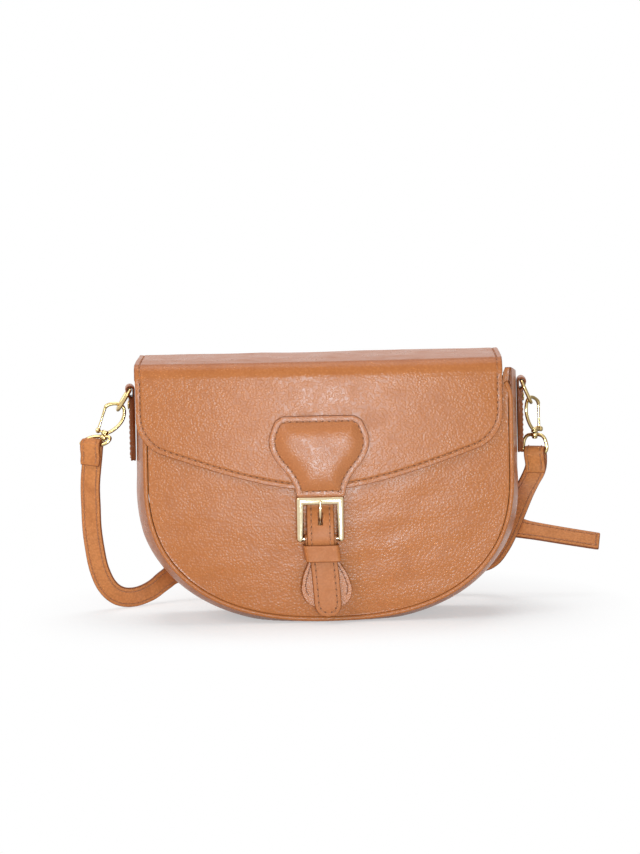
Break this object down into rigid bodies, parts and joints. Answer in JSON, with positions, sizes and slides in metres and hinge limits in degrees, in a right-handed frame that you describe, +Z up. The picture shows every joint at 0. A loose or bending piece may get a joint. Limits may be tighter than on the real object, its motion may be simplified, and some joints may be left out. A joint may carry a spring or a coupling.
{
  "type": "shoulder bag",
  "caption": "Half-round leather shoulder bag: gusseted body, flap with padded patch and buckled magnetic tab, side rings, snap hooks and an adjustable strap.",
  "frame": {"origin": "centre of the bag's flat bottom, on the surface it stands on", "axes": "+Z up, front of the bag faces -Y, +X to the right as seen from the front"},
  "size_m": [0.327, 0.2419, 0.165],
  "materials": {
    "leather": "pebbled, semi-matte, tan",
    "patch_leather": "pebbled, semi-matte, tan",
    "strap_leather": "smooth, semi-matte, tan",
    "suede": "napped lining, matte",
    "foam": "matte wadding",
    "pale_gold": "polished pale gold plating",
    "hook_gold": "polished gold plating",
    "steel": "plain"
  },
  "bodies": {
    "bag": {"front_panel": "leather", "back_panel": "leather", "gusset": "leather", "front_piping": "leather", "back_piping": "leather", "lining": "suede", "magnet_socket": "steel", "magnet_washer": "steel", "side_tab_left": "leather", "side_tab_right": "leather", "tab_rivet_left": "hook_gold", "tab_rivet_right": "hook_gold", "swivel_left": "hook_gold", "swivel_right": "hook_gold", "long_strap": "strap_leather", "short_strap": "strap_leather", "strap_buckle_frame": "hook_gold", "strap_keeper_fixed": "strap_leather"},
    "flap": {"flap": "leather", "flap_lining": "suede", "flap_patch": "patch_leather", "patch_padding": "foam"},
    "closure": {"closure_tab": "patch_leather", "closure_tab_back": "patch_leather", "tongue": "strap_leather", "closure_keeper": "strap_leather", "buckle_frame": "pale_gold", "magnet_stud": "steel"},
    "closure_prong": {"buckle_prong": "pale_gold"},
    "ring_left": {"ring_left": "hook_gold"},
    "ring_right": {"ring_right": "hook_gold"},
    "hook_left": {"hook_left": "hook_gold"},
    "hook_right": {"hook_right": "hook_gold"},
    "gate_left": {"gate_left": "hook_gold"},
    "gate_right": {"gate_right": "hook_gold"},
    "strap_prong": {"strap_buckle_prong": "hook_gold"},
    "strap_keeper": {"strap_keeper_sliding": "strap_leather"}
  },
  "joints": [
    {"name": "flap_open", "type": "hinge", "parent": "bag", "child": "flap", "pos_m": [-0.0055, 0.035, 0.16225], "axis": [-1, 0, 0], "range_deg": [0, 165]},
    {"name": "closure_swing", "type": "hinge", "parent": "flap", "child": "closure", "pos_m": [-0.0055, -0.0433, 0.081], "axis": [-0.9981, 0, -0.061], "range_deg": [0, 12]},
    {"name": "buckle_prong_lift", "type": "hinge", "parent": "closure", "child": "closure_prong", "pos_m": [-0.00379, -0.04565, 0.05312], "axis": [0.9981, 0, 0.061], "range_deg": [0, 8]},
    {"name": "ring_left_swing", "type": "hinge", "parent": "bag", "child": "ring_left", "pos_m": [-0.12325, 0, 0.146], "axis": [0, 1, 0], "range_deg": [0, 5]},
    {"name": "ring_right_swing", "type": "hinge", "parent": "bag", "child": "ring_right", "pos_m": [0.12325, 0, 0.146], "axis": [0, -1, 0], "range_deg": [0, 5]},
    {"name": "hook_left_turn", "type": "hinge", "parent": "bag", "child": "hook_left", "pos_m": [-0.13999, 0, 0.11732], "axis": [0.342, 0, 0.9397], "range_deg": [-8, 8]},
    {"name": "hook_right_turn", "type": "hinge", "parent": "bag", "child": "hook_right", "pos_m": [0.13122, 0.00215, 0.11423], "axis": [-0.0175, 0, 0.9998], "range_deg": [-6, 2]},
    {"name": "gate_left_press", "type": "hinge", "parent": "hook_left", "child": "gate_left", "pos_m": [-0.1438, 0, 0.12031], "axis": [0, 1, 0], "range_deg": [0, 20], "stiffness_Nm_per_rad": 0.02, "springref_deg": -17.19},
    {"name": "gate_right_press", "type": "hinge", "parent": "hook_right", "child": "gate_right", "pos_m": [0.13416, 0.00568, 0.11578], "axis": [0.766, -0.6427, 0.0134], "range_deg": [0, 20], "stiffness_Nm_per_rad": 0.02, "springref_deg": -17.19},
    {"name": "strap_prong_lift", "type": "hinge", "parent": "bag", "child": "strap_prong", "pos_m": [0.0377, 0.0858, 0.02], "axis": [0, 0, -1], "range_deg": [0, 8]},
    {"name": "strap_keeper_slide", "type": "slide", "parent": "bag", "child": "strap_keeper", "axis": [1, 0, 0], "range_m": [-0.004, 0.003]}
  ]
}
